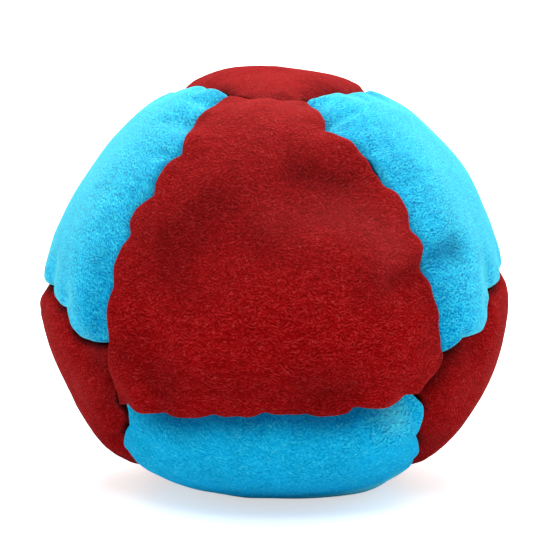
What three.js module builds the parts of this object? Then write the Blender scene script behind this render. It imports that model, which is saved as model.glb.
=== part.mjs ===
// A sand-filled footbag, sewn from eight suede panels: four red ones with six sides and four
// blue ones with three. Each panel is a puffed shell. Its edge turns in at every seam, and the
// turned-in edges of two neighbours lie face to face and are stitched through needle holes.
// Millimetres, +Z up, with the origin in the middle of the flat spot that the bag rests on.

import * as THREE from 'three';
import { mergeVertices } from 'three/addons/utils/BufferGeometryUtils.js';

// The whole bag, measured out from its middle. The sand sags into a belly below the waist.
const crownRadius = 25.4;
const bellyBulge = 2.2;
const bellyLatitude = -27;
const bellySpread = 36;
const restSag = 1.1;
const frontLean = 12;

// Hollows and swellings of the sand under the suede.
const dentDepth = 1.6;
const dentWidth = 6;

// Suede and its seams.
const suedeThickness = 0.9;
const foldInsideRadius = 0.4;
const seamAllowance = 2.3;
const seamGap = 0.3;
const seamDip = 1;
const seamDipReach = 3;
const seamWander = 4;

// Stitches.
const stitchPitch = 4.4;
const stitchEndMargin = 3.4;
const threadDiameter = 0.4;
const needleHoleClearance = 0.2;
const threadStandoff = 0.25;
const threadTail = 0.8;

// Sand.
const sandClearance = 0.4;
const sandGrooveClearance = 0.5;
const sandGrooveFlank = 0.4;
const sandColumnPitch = 4;

// Fineness of the crowned surfaces.
const ringPitch = 3;

// Sizes that follow from the ones above.
const meanRadius = crownRadius + bellyBulge / 2;
const foldRadius = suedeThickness + foldInsideRadius;
const halfGap = seamGap / 2;
const allowanceInside = halfGap + suedeThickness;
const foldInset = halfGap + foldRadius;
const foldBottom = foldRadius + seamDipAt(halfGap);
const needleHole = threadDiameter + 2 * needleHoleClearance;
const threadRun = allowanceInside + threadStandoff + threadDiameter / 2;
const sandGroove = threadRun + threadDiameter / 2 + sandGrooveClearance;

// Directions from the middle of the bag: how far they turn away from the middle of the front
// panel, and the clock angle from the bag's right-hand side, both in degrees.
function facing(tilt, clock) {
  const away = THREE.MathUtils.degToRad(tilt);
  const round = THREE.MathUtils.degToRad(clock);
  const ahead = new THREE.Vector3(0, 0, 1).multiplyScalar(Math.cos(away));
  const across = new THREE.Vector3(Math.cos(round), Math.sin(round), 0);
  const upright = Math.PI / 2 - THREE.MathUtils.degToRad(frontLean);
  const right = new THREE.Vector3(1, 0, 0);
  return ahead.addScaledVector(across, Math.sin(away)).applyAxisAngle(right, upright);
}

// Where three panels meet. The six V corners surround the front panel. The N corners lie
// behind: the ones ending in f close a side triangle, the ones ending in b the back triangle.
const corners = {
  V1L: facing(67, 104),
  V1R: facing(61, 80),
  V2u: facing(51, 200),
  V2d: facing(61, 220),
  V3u: facing(53, 338),
  V3d: facing(49, 320),
  N1f: facing(134, 273),
  N1b: facing(152, 279),
  N2f: facing(125, 39),
  N2b: facing(143, 29),
  N3f: facing(128, 146),
  N3b: facing(146, 157),
};

// Hollows (positive) and swellings (negative) as tilt, clock, depth share and width share.
const dentShares = [
  [24, 62, 0.7, 0.6],
  [15, 90, 0.5, 0.7],
  [13, 130, 0.6, 0.75],
  [19, 168, 0.8, 0.75],
  [29, 190, 0.7, 0.75],
  [36, 2, 0.7, 0.5],
  [19, 258, -0.4, 0.8],
  [29, 312, -0.4, 0.8],
  [50, 12, 0.7, 0.6],
  [53, 339, 0.3, 1],
  [66, 88, 0.35, 1],
  [87, 178, -0.25, 1.7],
  [87, 107, -0.15, 1.7],
  [87, 30, -0.2, 1.7],
  [87, 302, -0.2, 1.7],
  [87, 225, -0.15, 1.3],
  [87, 258, 0.15, 1.3],
];
const dents = dentShares.map(([tilt, clock, depthShare, widthShare]) => ({
  towards: facing(tilt, clock),
  depth: dentDepth * depthShare,
  width: dentWidth * widthShare,
}));

const down = new THREE.Vector3(0, 0, -1);

// The radius of the filled bag in one direction, before the seams pull it in.
function bagRadius(direction) {
  const latitude = THREE.MathUtils.radToDeg(direction.angleTo(down) - Math.PI / 2);
  const fromBelly = (latitude - bellyLatitude) / bellySpread;
  let radius = crownRadius + bellyBulge * Math.exp(-(fromBelly ** 2));
  for (const dent of dents) {
    const away = (direction.angleTo(dent.towards) * meanRadius) / dent.width;
    radius -= dent.depth * Math.exp(-(away ** 2));
  }
  return radius;
}

// How far a seam pulls the suede in, at a distance from it.
function seamDipAt(distance) {
  return seamDip * Math.exp(-distance / seamDipReach);
}

const middleHeight = bagRadius(down) - restSag;

// A point at a depth under the outer surface. The bag is flat where it rests: no layer of it
// goes lower than its own height above the ground.
function bagPoint(direction, depth, lowest) {
  const point = direction.clone().multiplyScalar(bagRadius(direction) - depth);
  point.z = Math.max(point.z + middleHeight, lowest);
  return point;
}

// A seam runs from corner to corner along a great circle, and wanders to its left or right by
// shares of the largest wander. Its left is seen from outside, looking along it.
function sewnSeam(from, to, wanderShares) {
  const axis = from.clone().cross(to).normalize();
  const turn = from.angleTo(to);
  const knots = [0, ...wanderShares, 0].map((share, i) => new THREE.Vector2(i, share * seamWander));
  const wander = new THREE.SplineCurve(knots);
  const at = (t) => {
    const sideways = wander.getPoint(t).y / meanRadius;
    return from.clone().applyAxisAngle(axis, turn * t).addScaledVector(axis, sideways).normalize();
  };
  const nudge = 1 / 500;
  const left = (t) => {
    const along = at(Math.min(1, t + nudge)).sub(at(Math.max(0, t - nudge)));
    return at(t).cross(along).normalize();
  };
  return { at, left, length: turn * meanRadius };
}

const seams = {
  'V1L-V2u': { thread: 'thread_front_left', wanderShares: [0.1, 0.35, 0.3, 0.3, 0.1, -0.1, -0.1] },
  'V3u-V1R': { thread: 'thread_front_right', wanderShares: [0.15, 0.3, 0.15, 0, 0.05, 0.1, 0.4] },
  'V2d-V3d': { thread: 'thread_front_bottom', wanderShares: [0.55, 0.75, 0.9, 0.95, 0.8, 0.5, 0.2] },
  'V1L-V1R': { thread: 'thread_front_top', wanderShares: [0.1] },
  'V2u-V2d': { thread: 'thread_front_lower_left', wanderShares: [-0.1] },
  'V3u-V3d': { thread: 'thread_front_lower_right', wanderShares: [0.1] },
  'V1L-N3f': { thread: 'thread_top_left', wanderShares: [-0.2, -0.6, -0.5, -0.2, 0] },
  'V1R-N2f': { thread: 'thread_top_right', wanderShares: [0, 0.3, 0.5, 0.3, 0.1] },
  'V2u-N3f': { thread: 'thread_lower_left_side', wanderShares: [0.7, 0.9, 1, 0.7, 0.3] },
  'V3u-N2f': { thread: 'thread_lower_right_side', wanderShares: [-0.5, -0.8, -0.9, -0.6, -0.3] },
  'V2d-N1f': { thread: 'thread_lower_left_bottom', wanderShares: [-0.4, -0.7, -0.6, -0.3, -0.1] },
  'V3d-N1f': { thread: 'thread_lower_right_bottom', wanderShares: [0.5, 0.7, 0.8, 0.5, 0.2] },
  'N3f-N3b': { thread: 'thread_top_lower_left', wanderShares: [0.1] },
  'N2f-N2b': { thread: 'thread_top_lower_right', wanderShares: [-0.1] },
  'N1f-N1b': { thread: 'thread_bottom_back', wanderShares: [0.1] },
  'N3b-N2b': { thread: 'thread_back_top', wanderShares: [-0.2, -0.4, -0.4, -0.4, -0.2] },
  'N2b-N1b': { thread: 'thread_back_right', wanderShares: [-0.2, -0.3, -0.4, -0.3, -0.1] },
  'N1b-N3b': { thread: 'thread_closing_back_left', wanderShares: [-0.2, -0.3, -0.3, -0.4, -0.2] },
};
for (const [ends, seam] of Object.entries(seams)) {
  const [from, to] = ends.split('-');
  Object.assign(seam, sewnSeam(corners[from], corners[to], seam.wanderShares));
}

// Stitch places along a seam, as shares of its length. A short seam has a single stitch.
function stitchShares(seam) {
  const sewnLength = seam.length - 2 * stitchEndMargin;
  const count = Math.max(1, Math.round(sewnLength / stitchPitch) + 1);
  if (count === 1) return [1 / 2];
  const places = Array.from({ length: count }, (_, i) => stitchEndMargin + (sewnLength * i) / (count - 1));
  return places.map((place) => place / seam.length);
}

// Both edges of every needle hole along a seam.
function holeEdgeShares(seam) {
  const halfHole = needleHole / 2 / seam.length;
  return stitchShares(seam).flatMap((share) => [share - halfHole, share + halfHole]);
}

// Evenly spaced places along a seam, where the sand's coarser surface has its points.
function evenShares(seam) {
  const count = Math.max(2, Math.round(seam.length / sandColumnPitch));
  return Array.from({ length: count - 1 }, (_, i) => (i + 1) / count);
}

// The columns round a panel, counter-clockwise from outside. A column stands on the seam and
// leans inwards; at a corner it leans so that it keeps the same distance from both seams.
function panelOutline(loop, sharesOf) {
  const sides = loop.map((from, i) => {
    const to = loop[(i + 1) % loop.length];
    const forward = seams[`${from}-${to}`];
    const seam = forward ?? seams[`${to}-${from}`];
    const shares = sharesOf(seam);
    const inward = (t) => seam.left(t).multiplyScalar(forward ? 1 : -1);
    return {
      length: seam.length,
      corner: corners[from],
      starts: inward(forward ? 0 : 1),
      ends: inward(forward ? 1 : 0),
      columns: (forward ? shares : shares.toReversed()).map((t) => ({ foot: seam.at(t), inward: inward(t) })),
    };
  });
  const columns = sides.flatMap((side, i) => {
    const before = sides.at(i - 1).ends;
    const mitre = before.clone().add(side.starts).divideScalar(1 + before.dot(side.starts));
    return [{ foot: side.corner, inward: mitre, corner: true }, ...side.columns];
  });
  return { columns, roundLength: sides.reduce((sum, side) => sum + side.length, 0) };
}

// The direction of a column at an inset from its seam.
function insetDirection({ foot, inward }, inset) {
  return foot.clone().addScaledVector(inward, inset / meanRadius).normalize();
}

// Points and triangles of one solid while it is made.
class Skin {
  points = [];
  triangles = [];

  add(point) {
    this.points.push(point);
    return this.points.length - 1;
  }

  quad(a, b, c, d) {
    this.triangles.push([a, b, c], [a, c, d]);
  }

  geometry() {
    const geometry = new THREE.BufferGeometry().setFromPoints(this.points);
    geometry.setIndex(this.triangles.flat());
    const welded = mergeVertices(geometry);
    welded.computeVertexNormals();
    return welded;
  }
}

// One closed row of points round a panel, each column at the same inset and depth.
function addRow(skin, columns, { inset, depth, lowest }) {
  return columns.map((column) => skin.add(bagPoint(insetDirection(column, inset), depth, lowest)));
}

// A band between two rows. The second row lies nearer to the seam on the outer side.
function addBand(skin, upper, lower, leaveOpen = () => false) {
  upper.forEach((a, i) => {
    const next = (i + 1) % upper.length;
    if (!leaveOpen(i)) skin.quad(a, lower[i], lower[next], upper[next]);
  });
}

// Rings between the fold of a panel and its middle, by how far in each one lies.
const ringShares = [0.22, 0.48, 0.74];

// The crowned surface inside one row, at a layer's depth under the outer surface. The layers
// of a panel and the sand under it have their points in the same directions.
function addCrown(skin, { columns, roundLength }, row, layer, facesIn) {
  const rim = columns.map((column) => insetDirection(column, foldInset));
  const middle = rim.reduce((sum, direction) => sum.add(direction), new THREE.Vector3()).normalize();
  const reaches = [0];
  rim.forEach((direction, i) => reaches.push(reaches[i] + direction.distanceTo(rim[(i + 1) % rim.length])));
  const places = reaches.map((reach) => reach / reaches[rim.length]);
  const seamLines = columns.map(({ foot }, i) => new THREE.Line3(foot, columns[(i + 1) % columns.length].foot));
  const nearest = new THREE.Vector3();
  const seamDistance = (direction) => {
    const toLine = (line) => line.closestPointToPoint(direction, true, nearest).distanceTo(direction);
    return Math.min(...seamLines.map(toLine)) * meanRadius;
  };
  const crownPoint = (direction) => bagPoint(direction, layer + seamDipAt(seamDistance(direction)), layer);
  let outer = { places: places.slice(0, rim.length), ring: row };
  for (const inShare of ringShares) {
    const count = Math.round((roundLength * (1 - inShare)) / ringPitch);
    const ringPlaces = Array.from({ length: count }, (_, i) => i / count);
    const ring = ringPlaces.map((place) => {
      const i = places.findLastIndex((start) => start <= place);
      const between = (place - places[i]) / (places[i + 1] - places[i]);
      const direction = rim[i].clone().lerp(rim[(i + 1) % rim.length], between);
      return skin.add(crownPoint(direction.lerp(middle, inShare).normalize()));
    });
    const inner = { places: ringPlaces, ring };
    joinRings(skin, outer, inner, facesIn);
    outer = inner;
  }
  const top = skin.add(crownPoint(middle));
  outer.ring.forEach((a, i) => {
    const b = outer.ring[(i + 1) % outer.ring.length];
    skin.triangles.push(facesIn ? [b, a, top] : [a, b, top]);
  });
}

// Triangles between two rings with different numbers of points, walking round both at once.
function joinRings(skin, outer, inner, facesIn) {
  const after = ({ places }, i) => (i + 1 < places.length ? places[i + 1] : 1);
  const pick = ({ ring }, i) => ring[i % ring.length];
  let i = 0;
  let j = 0;
  while (i < outer.ring.length || j < inner.ring.length) {
    const outerNext = j === inner.ring.length || (i < outer.ring.length && after(outer, i) <= after(inner, j));
    const step = outerNext ? pick(outer, i + 1) : pick(inner, j + 1);
    const triangle = [pick(inner, j), pick(outer, i), step];
    skin.triangles.push(facesIn ? triangle.toReversed() : triangle);
    if (outerNext) i += 1;
    else j += 1;
  }
}

// A suede panel: the crown outside, the fold, the stitched allowance with its needle holes,
// the raw edge, and the same again on the inside, one thickness further in.
function suedePanel(loop) {
  const skin = new Skin();
  const outline = panelOutline(loop, holeEdgeShares);
  const { columns } = outline;
  const outside = (inset, depth) => ({ inset, depth, lowest: 0 });
  const inside = (inset, depth) => ({ inset, depth, lowest: suedeThickness });
  const foldSteps = 2;
  const foldRows = Array.from({ length: foldSteps + 1 }, (_, i) => {
    const turned = ((Math.PI / 2) * i) / foldSteps;
    const inset = halfGap + foldRadius * (1 - Math.sin(turned));
    return outside(inset, foldRadius * (1 - Math.cos(turned)) + seamDipAt(inset));
  });
  const holeBottom = foldBottom + needleHole;
  const rawEdge = foldBottom + seamAllowance;
  const folds = foldRows.map((row) => addRow(skin, columns, row));
  const outerHoleBottom = addRow(skin, columns, outside(halfGap, holeBottom));
  const outerRawEdge = addRow(skin, columns, outside(halfGap, rawEdge));
  const innerRawEdge = addRow(skin, columns, inside(allowanceInside, rawEdge));
  const innerHoleBottom = addRow(skin, columns, inside(allowanceInside, holeBottom));
  const innerHoleTop = addRow(skin, columns, inside(allowanceInside, foldBottom));
  const innerCrown = addRow(skin, columns, inside(foldInset, suedeThickness + seamDipAt(foldInset)));
  const outerHoleTop = folds.at(-1);
  const isHole = columns.map((column, i) => opensHole(columns, i));
  for (let i = 0; i < foldSteps; i += 1) addBand(skin, folds[i], folds[i + 1]);
  addBand(skin, outerHoleTop, outerHoleBottom, (i) => isHole[i]);
  addBand(skin, outerHoleBottom, outerRawEdge);
  addBand(skin, outerRawEdge, innerRawEdge);
  addBand(skin, innerRawEdge, innerHoleBottom);
  addBand(skin, innerHoleBottom, innerHoleTop, (i) => isHole[i]);
  addBand(skin, innerHoleTop, innerCrown);
  isHole.forEach((open, i) => {
    if (!open) return;
    const next = (i + 1) % columns.length;
    skin.quad(outerHoleTop[next], outerHoleTop[i], innerHoleTop[i], innerHoleTop[next]);
    skin.quad(outerHoleTop[i], outerHoleBottom[i], innerHoleBottom[i], innerHoleTop[i]);
    skin.quad(outerHoleBottom[i], outerHoleBottom[next], innerHoleBottom[next], innerHoleBottom[i]);
    skin.quad(outerHoleBottom[next], outerHoleTop[next], innerHoleTop[next], innerHoleBottom[next]);
  });
  addCrown(skin, outline, folds[0], 0, false);
  addCrown(skin, outline, innerCrown, suedeThickness, true);
  return skin.geometry();
}

// Hole edges come in pairs after each corner, and the first of a pair opens the hole.
function opensHole(columns, i) {
  let sinceCorner = i;
  while (!columns[sinceCorner].corner) sinceCorner -= 1;
  return (i - sinceCorner) % 2 === 1;
}

// A thread: it goes through a hole, along one side of the two allowances to the next hole,
// and back through. Both ends run on a little past the last stitch.
function stitchedThread(seam) {
  const depth = foldBottom + needleHole / 2;
  const tailShare = threadTail / seam.length;
  const point = (t, side) => {
    const direction = insetDirection({ foot: seam.at(t), inward: seam.left(t) }, side * threadRun);
    return bagPoint(direction, depth, 0);
  };
  const stitches = stitchShares(seam);
  let side = -1;
  const path = [point(stitches[0] - tailShare, side)];
  for (const share of stitches) {
    path.push(point(share, side), point(share, -side));
    side = -side;
  }
  path.push(point(stitches.at(-1) + tailShare, side));
  return sweptRound(path, threadDiameter / 2);
}

// A round section swept along straight runs, with mitred turns and closed ends.
function sweptRound(path, radius) {
  const sides = 5;
  const skin = new Skin();
  const runs = path.slice(1).map((point, i) => point.clone().sub(path[i]).normalize());
  const across = new THREE.Vector3().crossVectors(runs[0], runs[1]).normalize();
  const upward = new THREE.Vector3().crossVectors(runs[0], across);
  let section = Array.from({ length: sides }, (_, i) => {
    const angle = (2 * Math.PI * i) / sides;
    const point = path[0].clone().addScaledVector(across, radius * Math.cos(angle));
    return point.addScaledVector(upward, radius * Math.sin(angle));
  });
  const startRing = section.map((point) => skin.add(point));
  let ring = startRing;
  runs.forEach((run, i) => {
    const cut = run.clone().add(runs[i + 1] ?? run).normalize();
    section = section.map((point) => {
      const reach = path[i + 1].clone().sub(point).dot(cut) / run.dot(cut);
      return point.clone().addScaledVector(run, reach);
    });
    const nextRing = section.map((point) => skin.add(point));
    addBand(skin, nextRing, ring);
    ring = nextRing;
  });
  const startCap = skin.add(path[0]);
  const endCap = skin.add(path.at(-1));
  startRing.forEach((a, i) => skin.triangles.push([startCap, startRing[(i + 1) % sides], a]));
  ring.forEach((a, i) => skin.triangles.push([endCap, a, ring[(i + 1) % sides]]));
  return skin.geometry();
}

// The sand fills the bag to just under the suede, with a groove under every seam that clears
// the allowances and their thread.
function sandFill(loops) {
  const skin = new Skin();
  const grooveDepth = foldBottom + seamAllowance + sandGrooveClearance;
  const layer = suedeThickness + sandClearance;
  const shoulder = sandGroove + sandGrooveFlank;
  for (const loop of loops) {
    const outline = panelOutline(loop, evenShares);
    const { columns } = outline;
    const top = addRow(skin, columns, { inset: shoulder, depth: layer + seamDipAt(shoulder), lowest: layer });
    const bottom = addRow(skin, columns, { inset: sandGroove, depth: grooveDepth, lowest: layer });
    const middle = addRow(skin, columns, { inset: 0, depth: grooveDepth, lowest: layer });
    addBand(skin, top, bottom);
    addBand(skin, bottom, middle);
    addCrown(skin, outline, top, layer, false);
  }
  return skin.geometry();
}

const redSuede = new THREE.MeshStandardMaterial({ color: 0x971416, roughness: 0.95, metalness: 0 });
const blueSuede = new THREE.MeshStandardMaterial({ color: 0x2fc4f1, roughness: 0.95, metalness: 0 });
const thread = new THREE.MeshStandardMaterial({ color: 0x6e0c0e, roughness: 0.6, metalness: 0 });
const sand = new THREE.MeshStandardMaterial({ color: 0xb9a27c, roughness: 1, metalness: 0 });

// Each panel's corners, counter-clockwise from outside.
const panels = {
  panel_red_front: { material: redSuede, loop: ['V1L', 'V2u', 'V2d', 'V3d', 'V3u', 'V1R'] },
  panel_red_top: { material: redSuede, loop: ['V1L', 'V1R', 'N2f', 'N2b', 'N3b', 'N3f'] },
  panel_red_lower_left: { material: redSuede, loop: ['V2d', 'V2u', 'N3f', 'N3b', 'N1b', 'N1f'] },
  panel_red_lower_right: { material: redSuede, loop: ['V3u', 'V3d', 'N1f', 'N1b', 'N2b', 'N2f'] },
  panel_blue_left: { material: blueSuede, loop: ['V2u', 'V1L', 'N3f'] },
  panel_blue_right: { material: blueSuede, loop: ['V1R', 'V3u', 'N2f'] },
  panel_blue_bottom: { material: blueSuede, loop: ['V3d', 'V2d', 'N1f'] },
  panel_blue_back: { material: blueSuede, loop: ['N3b', 'N2b', 'N1b'] },
};

const footbag = new THREE.Group();
footbag.name = 'footbag';

function addPiece(name, geometry, material) {
  const piece = new THREE.Mesh(geometry, material);
  piece.name = name;
  footbag.add(piece);
}

for (const [name, { loop, material }] of Object.entries(panels)) addPiece(name, suedePanel(loop), material);
for (const seam of Object.values(seams)) addPiece(seam.thread, stitchedThread(seam), thread);
addPiece('sand_fill', sandFill(Object.values(panels).map(({ loop }) => loop)), sand);

export default footbag;
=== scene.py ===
import bmesh
import bpy
import numpy as np
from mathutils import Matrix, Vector
from mathutils.kdtree import KDTree


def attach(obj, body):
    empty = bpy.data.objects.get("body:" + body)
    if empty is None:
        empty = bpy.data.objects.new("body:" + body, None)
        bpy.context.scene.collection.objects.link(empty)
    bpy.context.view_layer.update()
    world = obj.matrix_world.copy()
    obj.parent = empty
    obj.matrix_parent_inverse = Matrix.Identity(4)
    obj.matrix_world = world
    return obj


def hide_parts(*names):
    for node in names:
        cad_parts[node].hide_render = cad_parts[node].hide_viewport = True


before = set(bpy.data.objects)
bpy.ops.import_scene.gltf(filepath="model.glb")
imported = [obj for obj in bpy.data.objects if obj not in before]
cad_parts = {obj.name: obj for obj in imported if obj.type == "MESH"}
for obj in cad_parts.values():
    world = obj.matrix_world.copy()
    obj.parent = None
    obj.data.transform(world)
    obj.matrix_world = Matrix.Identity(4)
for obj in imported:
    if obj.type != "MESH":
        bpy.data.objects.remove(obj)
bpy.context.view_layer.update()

# Sand: about sixty grams of loose washed sand, poured in through the last seam before that one
# is sewn up. It has no shape of its own, but it gives the bag its form: a belly that sags under
# the waist, a flat spot where it rests, and hollows and lumps under the suede.
MM = 0.001
LEAN = np.radians(12)
CROWN_RADIUS = 25.4
BELLY_BULGE, BELLY_LATITUDE, BELLY_SPREAD = 2.2, -27, 36
REST_SAG = 1.1
MEAN_RADIUS = CROWN_RADIUS + BELLY_BULGE / 2


def facing(tilt, clock):
    """A direction that turns away from the front panel's middle by tilt, towards a clock angle."""
    away, turn = np.radians(tilt), np.radians(clock)
    x, y, z = np.sin(away) * np.cos(turn), np.sin(away) * np.sin(turn), np.cos(away)
    return np.array([x, y * np.sin(LEAN) - z * np.cos(LEAN), y * np.cos(LEAN) + z * np.sin(LEAN)])


def unit(v):
    return v / np.linalg.norm(v, axis=-1, keepdims=True)


# Hollows of the sand, each from one place to another: two tilts and clocks, depth, width. A
# depth under nothing is a lump. Those at a tilt of 87 shape the outline as seen from in front.
HOLLOWS = [
    ((28, 47), (20, 76), 1.4, 3.2),
    ((31, 72), (36, 52), 0.9, 1.8),
    ((41, 78), (46, 56), -0.9, 3.2),
    ((25, 52), (12, 121), 0.8, 4.4),
    ((14, 124), (33, 190), 1.8, 4.8),
    ((43, 7), (33, 359), 1.3, 1.6),
    ((31, 359), (23, 352), 0.7, 2.4),
    ((46, 9), (53, 10), 0.9, 1.7),
    ((22, 229), (19, 288), -0.6, 3.6),
    ((19, 288), (36, 331), -0.7, 3.6),
    ((36, 207), (42, 220), 0.9, 2.4),
    ((31, 292), (35, 305), 0.9, 2.4),
    ((46, 122), (44, 138), -0.8, 2.6),
    ((42, 50), (38, 35), -0.8, 2.6),
    ((87, 180), (87, 180), -0.8, 5),
    ((87, 120), (87, 120), -0.2, 5),
    ((87, 2), (87, 2), -0.55, 4),
    ((87, 30), (87, 30), -0.35, 5),
    ((87, 106), (87, 106), -0.1, 5),
    ((87, 84), (87, 84), 0.6, 7),
    ((87, 345), (87, 345), 0.1, 9),
    ((87, 328), (87, 328), 0.35, 5),
    ((87, 302), (87, 302), -0.32, 10),
    ((87, 225), (87, 225), -0.5, 7),
    ((87, 210), (87, 210), 0.9, 6),
    ((87, 242), (87, 242), 0.35, 5),
    ((87, 258), (87, 258), 0.24, 8),
    ((80, 270), (80, 276), 0.3, 8),
    ((120, 90), (128, 60), 0.5, 5),
    ((118, 190), (126, 215), 0.5, 5),
    ((116, 330), (126, 310), 0.5, 5),
    ((160, 30), (165, 150), 0.4, 6),
]
# Pits under single panels, where the suede has sunk in beside a tight corner.
PITS = {
    "red_front": [
        ((59, 217), (62, 218), 1.4, 2.4),
        ((62, 102), (64, 103), 0.5, 2),
        ((51, 337), (52, 337), 0.4, 2),
    ],
    "red_top": [((78, 106), (86, 111), 0.5, 2.4), ((66, 78), (85, 66), 0.7, 2.6)],
    "red_lower_left": [((50, 204), (58, 203), 0.7, 2.4), ((64, 222), (84, 230), 0.5, 1.8)],
    "red_lower_right": [
        ((55, 337), (66, 341), 1.2, 2.2),
        ((56, 331), (54, 323), 0.5, 2.2),
        ((58, 320), (80, 312), 0.7, 2.4),
    ],
    "blue_left": [((49, 195), (60, 195), 0.6, 2.4)],
}
# Small uneven lumps, scattered all over.
LUMP_COUNT, LUMP_DEPTH = 240, 0.2
LEAST_LUMP_WIDTH, MOST_LUMP_WIDTH = 2.2, 4.5
chance = np.random.default_rng(5)
LUMPS = unit(chance.normal(size=(LUMP_COUNT, 3)))
LUMP_DEPTHS = chance.uniform(-LUMP_DEPTH, LUMP_DEPTH, LUMP_COUNT)
LUMP_WIDTHS = chance.uniform(LEAST_LUMP_WIDTH, MOST_LUMP_WIDTH, LUMP_COUNT)


def from_stretch(directions, a, b):
    """Distance in millimetres of directions from the stretch between two of them."""
    run = b - a
    share = np.clip((directions - a) @ run / max(run @ run, 1e-12), 0, 1)
    return np.linalg.norm(directions - a - share[:, None] * run, axis=1) * MEAN_RADIUS


def even_radius(directions):
    """How far an evenly filled bag reaches, in millimetres: a ball with a sagging belly."""
    latitude = np.degrees(np.arcsin(np.clip(directions[:, 2], -1, 1)))
    return CROWN_RADIUS + BELLY_BULGE * np.exp(-(((latitude - BELLY_LATITUDE) / BELLY_SPREAD) ** 2))


def hollowed(directions, hollows):
    """How deep a list of hollows is at each direction, in millimetres."""
    depth = np.zeros(len(directions))
    for start, end, deepest, width in hollows:
        away = from_stretch(directions, facing(*start), facing(*end))
        depth += deepest * np.exp(-((away / width) ** 2))
    return depth


def bag_radius(directions):
    """How far the filled bag reaches, with its hollows and lumps, before its seams pull it in."""
    radius = even_radius(directions) - hollowed(directions, HOLLOWS)
    for lump, depth, width in zip(LUMPS, LUMP_DEPTHS, LUMP_WIDTHS):
        away = np.linalg.norm(directions - lump, axis=1) * MEAN_RADIUS
        radius += depth * np.exp(-((away / width) ** 2))
    return radius


MIDDLE_HEIGHT = bag_radius(np.array([[0.0, 0, -1]]))[0] - REST_SAG


def bag_point(directions, depth, lowest=0):
    """Points at a depth under the bag's surface, flat where they would sink into the ground."""
    points = directions * (bag_radius(directions) - depth)[:, None]
    points[:, 2] = np.maximum(points[:, 2] + MIDDLE_HEIGHT, lowest)
    return points


# Corners, where three panels meet. V corners are the front panel's: 1 at its top, left and
# right, 2 at its lower left and 3 at its lower right, up and down. N corners lie behind, below
# at 1, right at 2 and left at 3, f towards the front and b towards the back.
CORNERS = {
    "V1L": facing(63.2, 103.7),
    "V1R": facing(57.3, 80.2),
    "V2u": facing(49.1, 200.3),
    "V2d": facing(61.7, 218.2),
    "V3u": facing(51.3, 336.7),
    "V3d": facing(49.1, 322.1),
    "N1f": facing(134, 273),
    "N1b": facing(152, 279),
    "N2f": facing(125, 39),
    "N2b": facing(143, 29),
    "N3f": facing(128, 146),
    "N3b": facing(146, 157),
}
SEAM_STEP, SEAM_MARGIN = 0.05, 3
SWAY_EVENED_OVER = 27
BENDS_EVENED_OVER = 0.8


class Seam:
    """A seam from corner to corner. It sways to its left or right of the straight way, as a
    list of places along it and how far to the left it lies there, in millimetres, and it is
    pulled in at each of its tight stitches."""

    def __init__(self, start, end, sway, tight):
        self.first = CORNERS[start]
        self.axis = unit(np.cross(self.first, CORNERS[end]))
        self.across = np.cross(self.axis, self.first)
        self.length = np.arccos(self.first @ CORNERS[end]) * MEAN_RADIUS
        self.tight = tight
        last = self.length + SEAM_MARGIN
        self.places = np.arange(-SEAM_MARGIN, last, SEAM_STEP)
        knots = [(-SEAM_MARGIN, 0), (0, 0), *sway, (self.length, 0), (last, 0)]
        straight = np.interp(self.places, *np.transpose(knots))
        kernel = np.hanning(SWAY_EVENED_OVER)
        self.swayed = np.convolve(straight, kernel / kernel.sum(), "same")
        self.slopes = np.gradient(self.swayed, self.places)

    def at(self, along):
        """Directions on the seam line, at places along it."""
        turn = (along / MEAN_RADIUS)[:, None]
        sway = np.interp(along, self.places, self.swayed)[:, None] / MEAN_RADIUS
        return unit(np.cos(turn) * self.first + np.sin(turn) * self.across + sway * self.axis)

    def ways(self, along):
        """Unit vectors along the seam and to its left, evened out over its tightest bends."""
        here = self.at(along)
        ahead = unit(self.at(along + BENDS_EVENED_OVER) - self.at(along - BENDS_EVENED_OVER))
        return ahead, unit(np.cross(here, ahead))

    def seen_from(self, directions):
        """Places along the seam, and distances to its left, of directions near it."""
        along = np.arctan2(directions @ self.across, directions @ self.first) * MEAN_RADIUS
        left = np.arcsin(np.clip(directions @ self.axis, -1, 1)) * MEAN_RADIUS
        left -= np.interp(along, self.places, self.swayed)
        return along, left / np.sqrt(1 + np.interp(along, self.places, self.slopes) ** 2)


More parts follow.
